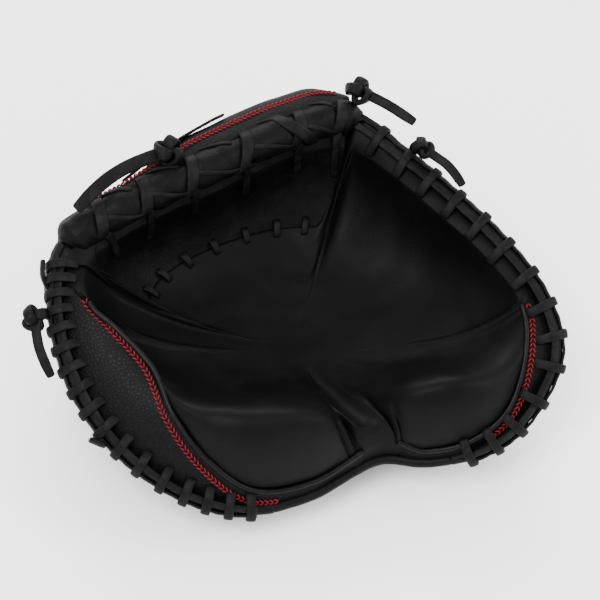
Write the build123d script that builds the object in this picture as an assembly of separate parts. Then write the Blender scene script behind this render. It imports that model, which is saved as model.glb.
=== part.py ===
from build123d import *
import math
import os

# A catcher's mitt for the left hand, lying on its back with the pocket up.
# Millimetres. +X to the little finger, +Y from the heel to the web, +Z out of the pocket.

# ---- driving dimensions ----
LEATHER = 2.6            # palm, web, gusset and back leather
LINING = 1.4             # soft leather next to the hand
LAYER_GAP = 0.6          # air between two layers that lie on each other
PAD_CENTRE = 10.0        # felt under the pocket
PAD_THINNING = 8.0       # how much thinner the felt is at its outer edge
POCKET_HEIGHT = 45.0     # palm surface at the deepest point, above the floor
CEILING_HEIGHT = 30.5    # underside of the padding over the hand
BINDING_RADIUS = 3.2     # rolled leather binding along the rim
EDGE_LACE_RADIUS = 1.0
EDGE_LACE_OFFSET = 4.4   # centre of a lace that lies along the binding
BAND_INNER = 5.9         # rim lacing that goes round binding and edge laces
BAND_OUTER = 7.2
LACE_WIDTH = 6.0
RIM_MARGIN = 8.2         # gussets stop this far from the lacing edge
BACK_MARGIN = 11.0       # back panels stop this far from it
WEB_MARGIN = 15.5        # the web's back panel stops this far from the roll's middle
PIPING_RADIUS = 2.0
PALM_MARGIN = 5.8        # the palm leather stops this far from the piping line
GUSSET_MARGIN = 7.0      # and the gusset this far on the other side
ROLL_RADIUS = 9.0        # leather roll along the top of the web
WRAP_OUTER = 11.5
WRAP_INNER = 9.9
STRAP_WIDTH = 23.0
STRAP_THICK = 2.6
STRAP_Y = -49.0
TAIL_RADIUS = 1.6
CLOSE_ANGLE = 30.0       # how far the thumb half folds over
FOLD_GAP = 0.6

# ---- stations round the mitt, anticlockwise seen from behind the pocket ----
# lacing edge, palm edge (piping line), wall bulge, lobe height, bulge of the back
STATIONS = [
    ((20, -85, 30), (23, -84, 46), 0.05, 14, -0.30),      # heel notch
    ((-26, -93, 27), (-22, -91, 37), 0.10, 42, -0.35),    # thumb lobe, inner side
    ((-63, -91, 29), (-59, -88, 41), 0.10, 46, -0.40),    # thumb lobe, bottom
    ((-97, -74, 38), (-82, -72, 60), 0.12, 36, -0.40),    # thumb lobe, outer side
    ((-126, -43, 56), (-95, -47, 79), 0.20, 18, -0.40),   # thumb side, low
    ((-140, -9, 76), (-98, -18, 91), 0.28, 6, -0.35),    # thumb side, middle
    ((-141, 23, 95), (-111, 8, 102), 0.35, 0, -0.20),     # thumb side, high
    ((-133, 48, 109), (-121, 27, 109), 0.35, 0, 0.20),    # thumb tip
    ((-119, 66, 121), (-111, 54, 112), 0.50, 0, 0.50),    # web, thumb end
    ((-77, 74, 131), (-73, 66, 116), 0.75, 0, 0.60),
    ((-29, 82, 135), (-26, 74, 119), 0.80, 0, 0.75),      # web, middle
    ((29, 94, 135), (30, 86, 119), 0.75, 0, 0.75),
    ((72, 95, 131), (66, 83, 117), 0.65, 0, 0.60),        # web, finger end
    ((94, 61, 123), (84, 54, 116), 0.50, 0, 0.30),        # first finger tip
    ((111, 25, 117), (99, 19, 112), 0.45, 0, 0.10),
    ((127, -11, 108), (115, -15, 104), 0.40, 0, 0.00),
    ((138, -50, 95), (124, -50, 95), 0.30, 0, -0.10),     # finger side
    ((135, -81, 76), (116, -77, 80), 0.20, 10, -0.25),
    ((107, -102, 53), (97, -98, 61), 0.12, 30, -0.35),    # little finger
    ((78, -106, 40), (72, -103, 48), 0.10, 43, -0.35),    # finger lobe, bottom
    ((48, -98, 32), (46, -96, 41), 0.08, 40, -0.30),      # finger lobe, inner side
]
COUNT = len(STATIONS)
LACING_EDGE = [row[0] for row in STATIONS]
PALM_EDGE = [row[1] for row in STATIONS]
WALL_BULGE = [row[2] for row in STATIONS]
LOBE_HEIGHT = [row[3] for row in STATIONS]
BACK_BULGE = [row[4] for row in STATIONS]

# where pieces begin and end, counted in stations
WEB_START, WEB_END = 8.0, 12.0
THUMB_OPENING, FINGER_OPENING = 1.6, 19.6
POCKET_CENTRE = (2.0, 0.0)
BACK_CENTRE = (0.0, -5.0)
FLAT_FROM = 0.6          # share of the back's profile where it reaches the floor

# moves the outline's middle to the origin
CENTRING = (1.6, -0.4, 0.0)

# fold line: from the heel notch to the middle of the web
FOLD_HEEL = Vector(20, -86, 34)
FOLD_WEB = Vector(-29, 82, 58)


# ---- shape functions ----
def round_the_mitt(values, t):
    """Value at station t of a list given at the stations, as a smooth closed curve."""
    i = math.floor(t)
    f = t - i
    a, b, c, d = (values[(i + k) % COUNT] for k in (-1, 0, 1, 2))

    def blend(a, b, c, d):
        slope = c - a
        bend = 2 * a - 5 * b + 4 * c - d
        twist = 3 * b - a - 3 * c + d
        return 0.5 * (2 * b + slope * f + bend * f**2 + twist * f**3)

    if isinstance(b, tuple):
        return tuple(blend(*q) for q in zip(a, b, c, d))
    return blend(a, b, c, d)


def softened(values, times):
    """A list of points at the stations, each drawn towards its neighbours a number of times."""
    for _ in range(times):
        behind = values[-1:] + values[:-1]
        ahead = values[1:] + values[:1]
        rows = zip(behind, values, ahead)
        values = [tuple((a + 2 * b + c) / 4 for a, b, c in zip(*row)) for row in rows]
    return values


POCKET_EDGE = softened(PALM_EDGE, 3)    # rounder outline that the pocket's bottom follows


def lacing_edge(t):
    return Vector(*round_the_mitt(LACING_EDGE, t))


def palm_edge(t):
    return Vector(*round_the_mitt(PALM_EDGE, t))


def palm_surface(s, t):
    """Outer face of the palm and web: s is 0 at the pocket centre and 1 at the palm edge."""
    rim_side = round_the_mitt(PALM_EDGE, t)
    pocket_side = round_the_mitt(POCKET_EDGE, t)
    edge = tuple(b + (a - b) * s**1.5 for a, b in zip(rim_side, pocket_side))
    lobe = round_the_mitt(LOBE_HEIGHT, t) * s**3.2 * max(0.0, 1 - s) ** 0.6 / 0.205
    reach = s + round_the_mitt(WALL_BULGE, t) * s * math.sin(math.pi * s)
    x = POCKET_CENTRE[0] + (edge[0] - POCKET_CENTRE[0]) * reach
    y = POCKET_CENTRE[1] + (edge[1] - POCKET_CENTRE[1]) * reach
    return Vector(x, y, POCKET_HEIGHT + (edge[2] - POCKET_HEIGHT) * s**2.2 + lobe)


def ceiling_surface(s, t):
    """Top of the lining over the hand."""
    edge = round_the_mitt(PALM_EDGE, t)
    rim = round_the_mitt(LACING_EDGE, t)
    reach = s + round_the_mitt(WALL_BULGE, t) * s * math.sin(math.pi * s)
    x = POCKET_CENTRE[0] + (0.5 * (edge[0] + rim[0]) - POCKET_CENTRE[0]) * reach
    y = POCKET_CENTRE[1] + (0.5 * (edge[1] + rim[1]) - POCKET_CENTRE[1]) * reach
    return Vector(x, y, CEILING_HEIGHT + (rim[2] - 10 - CEILING_HEIGHT) * s**3)


def back_surface(v, t):
    """Outer face of the back: v is 0 at the lacing edge and 1 under the middle of the hand."""
    rim = round_the_mitt(LACING_EDGE, t)
    bulge = 0.32 * round_the_mitt(BACK_BULGE, t) * math.sin(math.pi * math.sqrt(v))
    reach = 1 - v**1.6 + bulge
    x = BACK_CENTRE[0] + (rim[0] - BACK_CENTRE[0]) * reach
    y = BACK_CENTRE[1] + (rim[1] - BACK_CENTRE[1]) * reach
    return Vector(x, y, rim[2] * max(0.0, 1 - v / FLAT_FROM) ** 2)


def gusset_surface(u, t):
    """Outer face of the side gusset: u is 0 at the piping and 1 at the lacing edge."""
    inner = palm_edge(t)
    outer = lacing_edge(t)
    puff = 0.10 * (outer - inner).length * math.sin(math.pi * u)
    return inner + (outer - inner) * u + Vector(0, 0, puff)


# ---- helpers that make solids ----
def spread(start, end, count):
    return [start + (end - start) * k / count for k in range(count + 1)]


def facets(points):
    """Flat triangular faces of a list of point triples, without the ones of no area."""
    made = []
    for a, b, c in points:
        if (b - a).cross(c - a).length > 1e-4:
            made.append(Face(Wire.make_polygon([a, b, c], close=True)))
    return made


def solid_from(triangles):
    made = Solid(Shell(facets(triangles)))
    if made.volume < 0:
        made = Solid(Shell([-face for face in made.faces()]))
    return made


def between(top, bottom, joined=False):
    """Closed solid between two grids of points; joined means that the last row meets the first."""
    rows = len(top)
    columns = len(top[0])
    triangles = []
    last = rows if joined else rows - 1
    for i in range(last):
        n = (i + 1) % rows
        for j in range(columns - 1):
            triangles.append((top[i][j], top[n][j], top[n][j + 1]))
            triangles.append((top[i][j], top[n][j + 1], top[i][j + 1]))
            triangles.append((bottom[i][j], bottom[n][j + 1], bottom[n][j]))
            triangles.append((bottom[i][j], bottom[i][j + 1], bottom[n][j + 1]))
        for j in (0, columns - 1):
            triangles.append((top[i][j], bottom[i][j], bottom[n][j]))
            triangles.append((top[i][j], bottom[n][j], top[n][j]))
    if not joined:
        for i in (0, rows - 1):
            for j in range(columns - 1):
                triangles.append((top[i][j], top[i][j + 1], bottom[i][j + 1]))
                triangles.append((top[i][j], bottom[i][j + 1], bottom[i][j]))
    return solid_from(triangles)


def inward(surface, a, t, step=0.01):
    """Unit normal of a surface that points into the mitt's body, away from its open side."""
    low = max(a, 0.04)
    across = surface(min(low + step, 1.0), t) - surface(low - step, t)
    along = surface(low, t + step) - surface(low, t - step)
    return across.cross(along).normalized()


def even_rows(edge_from, edge_to, columns):
    return lambda t: spread(edge_from(t), edge_to(t), columns)


def layer(surface, stations, rows, depth, thickness, joined=False):
    """A layer of even or changing thickness under a surface, at a depth below its outer face."""
    top, bottom = [], []
    for t in stations:
        top.append([])
        bottom.append([])
        for a in rows(t):
            point = surface(a, t)
            normal = inward(surface, a, t) if a > 0 else Vector(0, 0, -1)
            top[-1].append(point + normal * depth)
            bottom[-1].append(point + normal * (depth + thickness(a, t)))
    return between(top, bottom, joined)


def margin(surface, t, towards, distance):
    """The share of a profile that lies the given distance from its end at 0 or 1."""
    share = towards
    step = 0.002 if towards < 0.5 else -0.002
    while (surface(share, t) - surface(towards, t)).length < distance:
        share += step
    return share


def along_curve(curve, start, end, count):
    return [curve(t) for t in spread(start, end, count)]


def frames(points):
    """Tangent and two cross directions at each point of a path; the second stays near +Z."""
    made = []
    for i, point in enumerate(points):
        ahead = points[min(i + 1, len(points) - 1)]
        behind = points[max(i - 1, 0)]
        tangent = (ahead - behind).normalized()
        side = tangent.cross(Vector(0, 0, 1)).normalized()
        made.append((point, tangent, side, side.cross(tangent)))
    return made


def ring_at(frame, radius, sides):
    point, _, side, up = frame
    made = []
    for k in range(sides):
        angle = 2 * math.pi * (k + 0.5) / sides
        made.append(point + side * (radius * math.cos(angle)) + up * (radius * math.sin(angle)))
    return made


def rod(points, radius, sides=10):
    """Round rod with flat facets along a path."""
    path = frames(points)
    rings = [ring_at(f, radius, sides) for f in path]
    triangles = []
    for first, second in zip(rings, rings[1:]):
        for k in range(sides):
            n = (k + 1) % sides
            triangles.append((first[k], first[n], second[n]))
            triangles.append((first[k], second[n], second[k]))
    for ring, centre in ((rings[0], points[0]), (rings[-1], points[-1])):
        for k in range(sides):
            triangles.append((ring[k], centre, ring[(k + 1) % sides]))
    return solid_from(triangles)


def band(curve, t, inner, outer, width, sides=12):
    """A lace that goes once round the rim or the web roll at station t."""
    centre = curve(t)
    tangent = (curve(t + 0.02) - curve(t - 0.02)).normalized()
    ends = [centre - tangent * (width / 2), centre + tangent * (width / 2)]
    path = frames(ends)
    inner_rings = [ring_at(f, inner, sides) for f in path]
    outer_rings = [ring_at(f, outer, sides) for f in path]
    triangles = []
    for k in range(sides):
        n = (k + 1) % sides
        corners = [
            (outer_rings[0], outer_rings[1]),
            (outer_rings[1], inner_rings[1]),
            (inner_rings[1], inner_rings[0]),
            (inner_rings[0], outer_rings[0]),
        ]
        for a, b in corners:
            triangles.append((a[k], a[n], b[n]))
            triangles.append((a[k], b[n], b[k]))
    return solid_from(triangles)


def beside(curve, angle, distance):
    """Curve that runs beside another one, turned round it by an angle from the horizontal."""

    def moved(t):
        point = curve(t)
        tangent = (curve(t + 0.02) - curve(t - 0.02)).normalized()
        side = tangent.cross(Vector(0, 0, 1)).normalized()
        up = side.cross(tangent)
        return point + side * (distance * math.cos(angle)) + up * (distance * math.sin(angle))

    return moved


# ---- the fold: what belongs to the thumb half and to the finger half ----
FOLD_AXIS = (FOLD_WEB - FOLD_HEEL).normalized()
FOLD_SIDE = FOLD_AXIS.cross(Vector(0, 0, 1)).normalized()   # towards the little finger
FOLD_UP = FOLD_SIDE.cross(FOLD_AXIS)


def half(shape, thumb):
    """The share of a shape on one side of the fold, with room for the thumb half to close."""
    sign = -1 if thumb else 1
    upright = Plane(FOLD_HEEL + FOLD_SIDE * (sign * FOLD_GAP), z_dir=FOLD_SIDE * sign)
    kept = split(shape, bisect_by=upright, keep=Keep.TOP)
    if thumb:
        lean = math.radians(CLOSE_ANGLE + 3)
        normal = -(FOLD_SIDE * math.cos(lean) + FOLD_UP * math.sin(lean))
        kept = split(kept, bisect_by=Plane(FOLD_HEEL, z_dir=normal), keep=Keep.TOP)
    return kept


parts = {}


def add(name, shape):
    """Keeps one solid, or a group of like solids, as a node in the centred frame."""
    solids = list(shape) if isinstance(shape, list) else list(shape.solids())
    placed = [Pos(*CENTRING) * solid for solid in solids]
    parts[name] = Compound(children=placed) if len(placed) > 1 else placed[0]


def leather(edge_share, t):
    return LEATHER


def lining(share, t):
    return LINING


def felt(s, t):
    """Padding that thins towards the rim."""
    return PAD_CENTRE - PAD_THINNING * s**2


# ---- palm ----
def web_share(t):
    """1 in the middle of the web's stations, 0 away from them, with soft steps."""
    rise = min(max((t - WEB_START + 0.2) / 0.5, 0.0), 1.0)
    fall = min(max((WEB_END + 0.2 - t) / 0.5, 0.0), 1.0)
    return min(rise, fall)


def palm_rows(first=0, last=12):
    """Shares of the palm's profile, closer together over the lobes; fewer for a smaller layer."""
    shares = (0, 0.08, 0.16, 0.27, 0.39, 0.51, 0.62, 0.72, 0.80, 0.86, 0.91, 0.96, 1.0)

    def rows(t):
        whole = margin(palm_surface, t, 1.0, PALM_MARGIN)
        end = whole + (0.60 - whole) * web_share(t)
        return [share * end for share in shares[first:last + 1]]

    return rows


def thirds(start, end):
    """Stations a third apart, so that layers over each other have their facets in line."""
    return [start + k / 3 for k in range(round(3 * (end - start)) + 1)]


def palm_leather():
    """One hide from the heel to the foot of the web, on both sides of the fold."""
    return layer(palm_surface, thirds(0, COUNT)[:-1], palm_rows(), 0.0, leather, True)


def palm_lining():
    rows = even_rows(lambda t: 0.0, lambda t: 0.5, 5)
    return layer(ceiling_surface, thirds(0, COUNT)[:-1], rows, 0.0, lining, True)


def rim_pad(start, end, thumb):
    """Felt under the palm leather, from near the pocket centre to the rim or the web's foot."""
    rows = palm_rows(2, 9 if thumb else 7)
    sheet = layer(palm_surface, thirds(start, end), rows, LEATHER + LAYER_GAP, felt)
    return half(sheet, thumb)


def heel_pad(start, end, thumb):
    """Thick felt that fills one heel lobe between the rim pad and the hand."""
    depth = LEATHER + PAD_CENTRE + 2 * LAYER_GAP
    top, bottom = [], []
    for t in spread(start, end, round(4 * (end - start))):
        top.append([])
        bottom.append([])
        for s in spread(0.52, 0.78, 5):
            point = palm_surface(s, t) + inward(palm_surface, s, t) * depth
            floor = ceiling_surface(s, t).Z + LAYER_GAP
            top[-1].append(Vector(point.X, point.Y, max(point.Z, floor + 1.0)))
            bottom[-1].append(Vector(point.X, point.Y, floor))
    return half(between(top, bottom), thumb)


# ---- side gussets, piping and back ----
def gusset(start, end):
    """Curved side panel between the piping and the rim lacing."""

    def inner(t):
        return margin(gusset_surface, t, 0.0, GUSSET_MARGIN)

    def outer(t):
        return margin(gusset_surface, t, 1.0, RIM_MARGIN)

    return layer(gusset_surface, thirds(start, end), even_rows(inner, outer, 5), 0.0, leather)


def piping(start, end):
    return rod(along_curve(palm_edge, start, end, round(5 * (end - start))), PIPING_RADIUS, 8)


def back_panel(start, end, reach, edge_margin, depth, thickness):
    """Panel of the back between two stations, from the rim lacing to a share of its profile."""

    def edge(t):
        return margin(back_surface, t, 0.0, edge_margin)

    rows = even_rows(edge, lambda t: reach, 8)
    stations = spread(start, end, round(3 * (end - start)))
    return layer(back_surface, stations, rows, depth, thickness)


def back_window():
    """Space left open in the back, over the back of the hand and at the wrist."""
    over_hand = Pos(4, -14, 10) * Box(64, 44, 40)
    at_wrist = Pos(5, -78, 9) * Box(92, 84, 26)
    return over_hand, at_wrist


def opened(panel):
    for space in back_window():
        panel = panel - space
    return panel


# ---- rim ----
def whip_lacing(stations):
    return [band(lacing_edge, t, BAND_INNER, BAND_OUTER, LACE_WIDTH) for t in stations]


def edge_laces(start, end, angles):
    """Laces that lie side by side along the rolled binding, under the whip lacing."""
    count = round(5 * (end - start))
    made = []
    for angle in angles:
        path = beside(lacing_edge, math.radians(angle), EDGE_LACE_OFFSET)
        made.append(rod(along_curve(path, start, end, count), EDGE_LACE_RADIUS, 6))
    return made


def binding(start, end, radius=BINDING_RADIUS):
    return rod(along_curve(lacing_edge, start, end, round(5 * (end - start))), radius, 10)


# ---- web ----
def web_front():
    """Closed web panel that faces the pocket."""

    def top(t):
        return margin(palm_surface, t, 1.0, PALM_MARGIN)

    stations = spread(WEB_START + 0.4, WEB_END - 0.4, 12)
    return layer(palm_surface, stations, even_rows(lambda t: 0.64, top, 7), 0.0, leather)


def web_roll():
    return rod(along_curve(lacing_edge, WEB_START + 0.1, WEB_END + 0.1, 16), ROLL_RADIUS, 12)


def web_roll_wraps():
    return [band(lacing_edge, t, WRAP_INNER, WRAP_OUTER, LACE_WIDTH + 2) for t in ROLL_WRAPS]


def web_base_lacing():
    """Short laces that tie the foot of the web panel to the palm."""
    made = []
    for t in spread(WEB_START + 0.8, WEB_END - 0.8, 6):
        a = palm_surface(0.585, t) - inward(palm_surface, 0.585, t) * 1.6
        b = palm_surface(0.655, t) - inward(palm_surface, 0.655, t) * 1.6
        made.append(rod([a, b], 1.3, 6))
    return made


ROLL_WRAPS = [8.5, 9.12, 9.76, 10.42, 11.08, 11.74]
THUMB_WHIPS = spread(2.0, 7.35, 16)
FINGER_WHIPS = spread(12.55, 19.2, 13)


# ---- hand loops and wrist strap ----
def hand_loop(centre, width, height):
    """Flat leather loop that a finger goes through, open along Y."""
    outer = Box(width, LACE_WIDTH * 2, height)
    inner = Box(width - 4, LACE_WIDTH * 2 + 2, height - 4)
    return Pos(*centre) * (outer - inner)


def wrist_strap(low, thickness, length, width):
    """Flat strip across the wrist, between the two back panels."""
    return Pos(5, STRAP_Y, low + thickness / 2) * Box(length, width, thickness)


def strap_laces():
    """Short ties from the strap's ends to the back panels."""
    made = []
    for x in (-40.5, 50.5):
        for step in (-8, 0, 8):
            ends = [Vector(x - 6, STRAP_Y + step, 10.2), Vector(x + 6, STRAP_Y + step, 10.2)]
            made.append(rod(ends, 1.2, 6))
    return made


# ---- knots and lace tails ----
def knot(centre, size):
    """Overhand knot in a flat lace, as a faceted lump."""
    turned = Rot(30, 25, 15) * Box(size, size * 0.8, size * 0.7)
    return Pos(*centre) * chamfer(turned.edges(), size * 0.16)


def tail_corners(route):
    """Bend radius at each inner point of a route."""
    radii = []
    for a, b, c in zip(route, route[1:], route[2:]):
        first, second = Vector(*b) - Vector(*a), Vector(*c) - Vector(*b)
        turn = math.radians(first.get_angle(second))
        radii.append(0.45 * min(first.length, second.length) / math.tan(turn / 2))
    return radii


def lace_tail(name, route):
    """Free end of a lace: straight runs joined by tangent arcs."""
    radii = tail_corners(route)
    path = FilletPolyline(*route, radius=radii)
    start = Plane(path @ 0, z_dir=path % 0)
    tube = sweep(start * Circle(TAIL_RADIUS), path=path)
    ratio = tube.volume / (math.pi * TAIL_RADIUS**2 * path.length)
    print(name, "length", round(path.length, 1), "radii", [round(r, 1) for r in radii], round(ratio, 3))
    return tube


CROWN_ROUTE = [(80, 103, 145), (88, 94, 144), (97, 86, 140), (106, 74, 136)]
FINGER_ROUTE = [(102, 54, 135), (106, 44, 136), (113, 34, 133), (116, 23, 127)]
WEB_ROUTE = [(-49, 90, 148), (-65, 86, 148), (-83, 83, 144), (-100, 76, 142), (-113, 70, 137)]
THUMB_ROUTE = [(-153, 31, 103), (-155, 22, 100), (-156, 12, 93), (-153, 1, 83)]


def make_parts():
    add("palm_leather", palm_leather())
    add("palm_lining", palm_lining())
    add("web_front_panel", web_front())
    add("web_back_panel", back_panel(WEB_START + 0.1, WEB_END - 0.1, 0.74, WEB_MARGIN, 0.0, leather))
    add("web_roll", web_roll())
    add("web_roll_wraps", web_roll_wraps())
    add("web_base_lacing", web_base_lacing())
    add("heel_binding", binding(FINGER_OPENING + 0.1, COUNT + THUMB_OPENING - 0.1, 3.0))
    add("wrist_strap", wrist_strap(0.4, STRAP_THICK, 90, STRAP_WIDTH))
    add("wrist_strap_lining", wrist_strap(3.2, 2.0, 86, STRAP_WIDTH - 2))
    add("strap_laces", strap_laces())

    lining_depth = LEATHER + 3 * LAYER_GAP
    halves = (
        ("thumb", True, 0, 10, 0.7, 4.6, THUMB_OPENING, WEB_START - 0.05),
        ("finger", False, 10, COUNT, 16.9, 20.5, WEB_END + 0.05, FINGER_OPENING),
    )
    for name, thumb, pad_start, pad_end, heel_start, heel_end, start, end in halves:
        add(name + "_pad", rim_pad(pad_start, pad_end, thumb))
        add(name + "_heel_pad", heel_pad(heel_start, heel_end, thumb))
        outer = opened(back_panel(start, end, 0.9, BACK_MARGIN, 0.0, leather))
        inner = opened(back_panel(start, end, 0.86, BACK_MARGIN + 6, lining_depth, lining))
        add(name + "_back_panel", half(outer, thumb))
        add(name + "_back_lining", half(inner, thumb))

    add("thumb_gusset", gusset(8 / 3, 7))
    add("finger_gusset", gusset(16 + 2 / 3, 17 + 2 / 3))
    add("thumb_piping", piping(0.35, 7.0))
    add("finger_piping", piping(16.05, 20.65))
    add("thumb_binding", binding(THUMB_OPENING, WEB_START - 0.15))
    add("finger_binding", binding(WEB_END + 0.25, FINGER_OPENING))
    add("thumb_rim_lacing", whip_lacing(THUMB_WHIPS))
    add("finger_rim_lacing", whip_lacing(FINGER_WHIPS))
    add("thumb_edge_laces", edge_laces(1.9, 7.45, (60, 110)))
    add("finger_edge_laces", edge_laces(12.4, 19.3, (60, 110)))
    add("thumb_loop", hand_loop((-76, 2, 21), 24, 18))
    add("pinky_loop", hand_loop((78, -34, 20), 22, 16))

    tails = (
        ("crown", CROWN_ROUTE, 11), ("finger_rim", FINGER_ROUTE, 9),
        ("web", WEB_ROUTE, 11), ("thumb_rim", THUMB_ROUTE, 10),
    )
    for name, route, size in tails:
        add(name + "_knot", knot(route[0], size))
        add(name + "_lace_tail", lace_tail(name, route))
    web_end = [Vector(-144, 60, 118), Vector(-146, 52, 112), Vector(-145, 45, 104)]
    heel_end = [Vector(-142, -38, 61), Vector(-148, -34, 64)]
    add("thumb_lace_ends", [rod(web_end, 1.4, 6), rod(heel_end, 1.6, 6)])


make_parts()
os.makedirs("parts", exist_ok=True)
for node, shape in parts.items():
    export_step(shape, "parts/" + node + ".step")
    if shape.volume <= 0 or not shape.is_valid:
        print("faulty", node, shape.volume)
whole = Compound(children=list(parts.values()))
print("nodes", len(parts), "box", whole.bounding_box())
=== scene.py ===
import functools
import math

import bmesh
import bpy
from bpy.props import FloatProperty, FloatVectorProperty, IntProperty, PointerProperty
from bpy.types import Operator, Panel, PropertyGroup
from mathutils import Matrix, Vector, noise


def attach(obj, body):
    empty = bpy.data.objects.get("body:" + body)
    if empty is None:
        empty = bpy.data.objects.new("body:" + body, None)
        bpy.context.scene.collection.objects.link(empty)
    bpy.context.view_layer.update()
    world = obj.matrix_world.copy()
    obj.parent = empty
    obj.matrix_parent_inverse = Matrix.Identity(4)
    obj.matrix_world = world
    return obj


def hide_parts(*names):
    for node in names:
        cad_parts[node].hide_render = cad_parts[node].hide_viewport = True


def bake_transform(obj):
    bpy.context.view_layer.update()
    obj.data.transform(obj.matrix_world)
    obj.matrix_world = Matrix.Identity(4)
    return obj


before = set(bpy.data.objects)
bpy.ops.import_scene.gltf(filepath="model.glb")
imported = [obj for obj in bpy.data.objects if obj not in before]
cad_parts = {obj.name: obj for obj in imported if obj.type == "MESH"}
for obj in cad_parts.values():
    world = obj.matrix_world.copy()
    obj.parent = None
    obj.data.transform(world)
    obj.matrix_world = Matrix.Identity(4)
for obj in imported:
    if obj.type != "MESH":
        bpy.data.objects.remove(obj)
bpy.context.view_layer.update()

bl_info = {
    "name": "Catcher's mitt",
    "version": (1, 0, 0),
    "blender": (4, 5, 0),
    "location": "3D View > Sidebar > Mitt",
    "description": "Builds a laced leather catcher's mitt round its packed frame",
    "category": "Add Mesh",
}

MM = 0.001
CENTRING = Vector((1.6, -0.4, 0.0))
UP = Vector((0, 0, 1))


def at(x, y, z=0.0):
    """A point of the pattern, in millimetres, as a point of the frame in metres."""
    return (Vector((x, y, z)) + CENTRING) * MM


# ---- the pattern ----
# lacing edge, palm edge, wall bulge, lobe height and back bulge at the stations round the mitt
STATIONS = [
    ((20, -85, 30), (23, -84, 46), 0.05, 14, -0.30),      # heel notch
    ((-26, -93, 27), (-22, -91, 37), 0.10, 42, -0.35),    # thumb lobe, inner side
    ((-63, -91, 29), (-59, -88, 41), 0.10, 46, -0.40),    # thumb lobe, bottom
    ((-97, -74, 38), (-82, -72, 60), 0.12, 36, -0.40),    # thumb lobe, outer side
    ((-126, -43, 56), (-95, -47, 79), 0.20, 18, -0.40),   # thumb side, low
    ((-140, -9, 76), (-98, -18, 91), 0.28, 6, -0.35),    # thumb side, middle
    ((-141, 23, 95), (-111, 8, 102), 0.35, 0, -0.20),     # thumb side, high
    ((-133, 48, 109), (-121, 27, 109), 0.35, 0, 0.20),    # thumb tip
    ((-119, 66, 121), (-111, 54, 112), 0.50, 0, 0.50),    # web, thumb end
    ((-77, 74, 131), (-73, 66, 116), 0.75, 0, 0.60),
    ((-29, 82, 135), (-26, 74, 119), 0.80, 0, 0.75),      # web, middle
    ((29, 94, 135), (30, 86, 119), 0.75, 0, 0.75),
    ((72, 95, 131), (66, 83, 117), 0.65, 0, 0.60),        # web, finger end
    ((94, 61, 123), (84, 54, 116), 0.50, 0, 0.30),        # first finger tip
    ((111, 25, 117), (99, 19, 112), 0.45, 0, 0.10),
    ((127, -11, 108), (115, -15, 104), 0.40, 0, 0.00),
    ((138, -50, 95), (124, -50, 95), 0.30, 0, -0.10),     # finger side
    ((135, -81, 76), (116, -77, 80), 0.20, 10, -0.25),
    ((107, -102, 53), (97, -98, 61), 0.12, 30, -0.35),    # little finger
    ((78, -106, 40), (72, -103, 48), 0.10, 43, -0.35),    # finger lobe, bottom
    ((48, -98, 32), (46, -96, 41), 0.08, 40, -0.30),      # finger lobe, inner side
]
COUNT = len(STATIONS)
LACING_EDGE = [at(*row[0]) for row in STATIONS]
PALM_EDGE = [at(*row[1]) for row in STATIONS]
WALL_BULGE = [row[2] for row in STATIONS]
LOBE_HEIGHT = [row[3] * MM for row in STATIONS]
BACK_BULGE = [row[4] for row in STATIONS]

POCKET_CENTRE = at(2, 0, 45)
CEILING_CENTRE = at(2, 0, 30.5)
BACK_CENTRE = at(0, -5)
FLAT_FROM = 0.6           # share of the back's profile where it reaches the floor
FLAT_BELOW = 4 * MM       # the back has no ridges below this height,
FADE_OVER = 12 * MM       # and full ones from this much above it
THUMB_RIM = (1.6, 7.9)    # stations between which each half has its binding
FINGER_RIM = (12.2, 19.6)
WEB = (8.05, 11.95)
ROLL = (7.86, 12.16)
ROLL_WRAPS = (8.5, 9.12, 9.76, 10.42, 11.08, 11.74)
THUMB_WHIPS = [2.0 + 5.35 * k / 16 for k in range(17)]
FINGER_WHIPS = [12.55 + 6.65 * k / 13 for k in range(14)]
THUMB_GUSSET = (0.05, 7.1)
FINGER_GUSSET = (15.95, 20.95)
THUMB_PIPING = (0.3, 7.0)
FINGER_PIPING = (16.02, 20.7)

# where the palm leather ends: 0.62 at the web's foot, 1 at the piping, 2 at the lacing edge
LEATHER_END = (
    (0.0, 2.0), (0.30, 2.0), (0.60, 1.0), (6.75, 1.0), (7.05, 2.0), (7.92, 2.0), (8.2, 0.62),
    (11.8, 0.62), (12.1, 2.0), (15.95, 2.0), (16.25, 1.0), (20.4, 1.0), (20.7, 2.0), (21.0, 2.0),
)

# the fold line runs from the heel notch to the middle of the web
FOLD_HEEL = at(20, -86, 34)
FOLD_AXIS = (at(-29, 82, 58) - FOLD_HEEL).normalized()
FOLD_SIDE = FOLD_AXIS.cross(Vector((0, 0, 1))).normalized()
FOLD_REACH = 52 * MM

# lace tails: line of each free end and its length; scale of the knot at its root;
# width of the lace in millimetres; how the knot is turned, in degrees
TAILS = {
    "crown": (
        [(80, 103, 145), (88, 94, 144), (97, 86, 140), (106, 74, 136)],
        0.0402, 2.35, 6.5, (20, 15, 15),
    ),
    "finger_rim": (
        [(102, 54, 135), (106, 44, 136), (113, 34, 133), (116, 23, 127)],
        0.036, 1.95, 5.9, (10, 40, 40),
    ),
    "web": (
        [(-49, 90, 149), (-65, 88, 150), (-83, 86, 147), (-100, 79, 144), (-113, 72, 139)],
        0.0686, 2.5, 8.2, (40, 0, 20),
    ),
    "thumb_rim": (
        [(-153, 31, 103), (-155, 22, 100), (-156, 12, 93), (-153, 1, 83)],
        0.037, 2.1, 6.0, (60, 30, 0),
    ),
}
TAIL_HALVES = {"crown": "finger_half", "finger_rim": "finger_half", "thumb_rim": "thumb_half"}

# two short lace ends at the thumb
STUBS = (
    [(-138, 60, 118), (-141, 52, 112), (-139, 45, 104)],
    [(-134, -40, 59), (-143, -35, 64)],
)

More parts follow.
